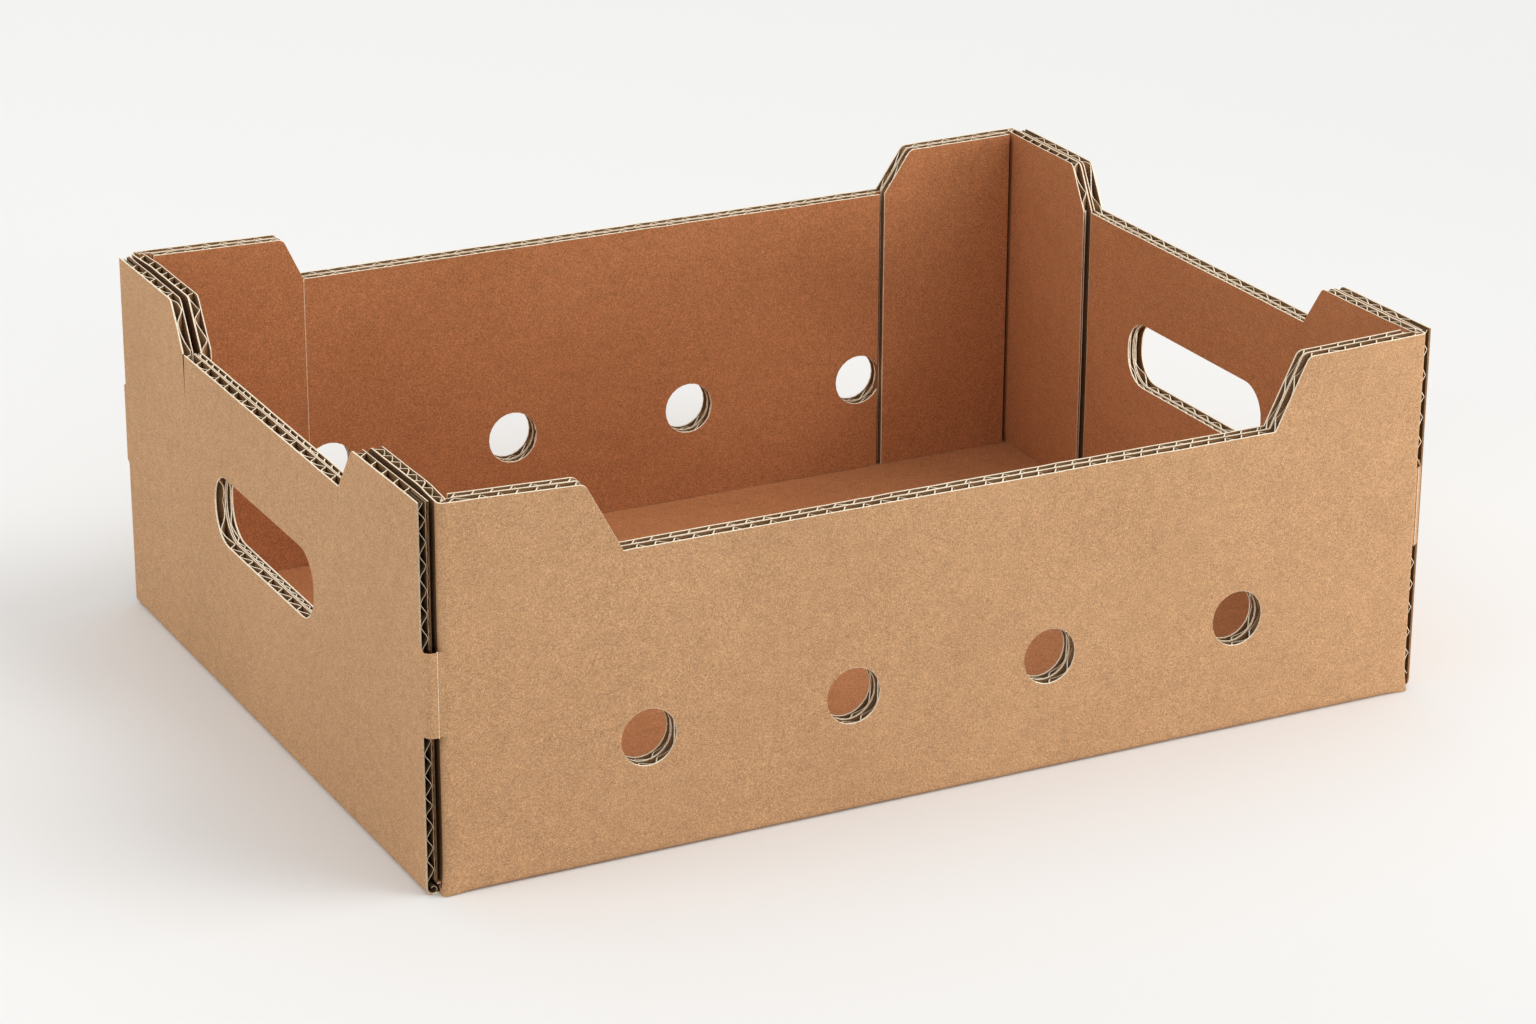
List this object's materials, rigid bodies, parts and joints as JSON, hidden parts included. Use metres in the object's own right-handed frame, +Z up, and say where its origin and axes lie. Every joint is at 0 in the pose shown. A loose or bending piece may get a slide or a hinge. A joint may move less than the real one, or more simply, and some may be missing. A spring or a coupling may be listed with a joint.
{
  "type": "open cardboard tray box",
  "caption": "Open stackable tray box of corrugated board with raised corners, hand slots in the ends and vent holes in the long sides.",
  "frame": {"origin": "middle of the footprint on the ground", "axes": "+X along the long sides, +Y from the front long side to the back one, +Z up"},
  "size_m": [0.4, 0.3, 0.142],
  "materials": {
    "outer_sheet": "matt brown kraft board, pale cut edges",
    "side_lining": "matt reddish brown kraft board, pale cut edges",
    "end_lining": "matt reddish brown kraft board, pale cut edges",
    "corner_pad": "matt reddish brown kraft board, pale cut edges"
  },
  "bodies": {
    "root": {"outer_tray": "outer_sheet", "front_lining": "side_lining", "back_lining": "side_lining", "left_lining": "end_lining", "right_lining": "end_lining", "front_left_pad": "corner_pad", "front_right_pad": "corner_pad", "back_left_pad": "corner_pad", "back_right_pad": "corner_pad"}
  },
  "joints": []
}
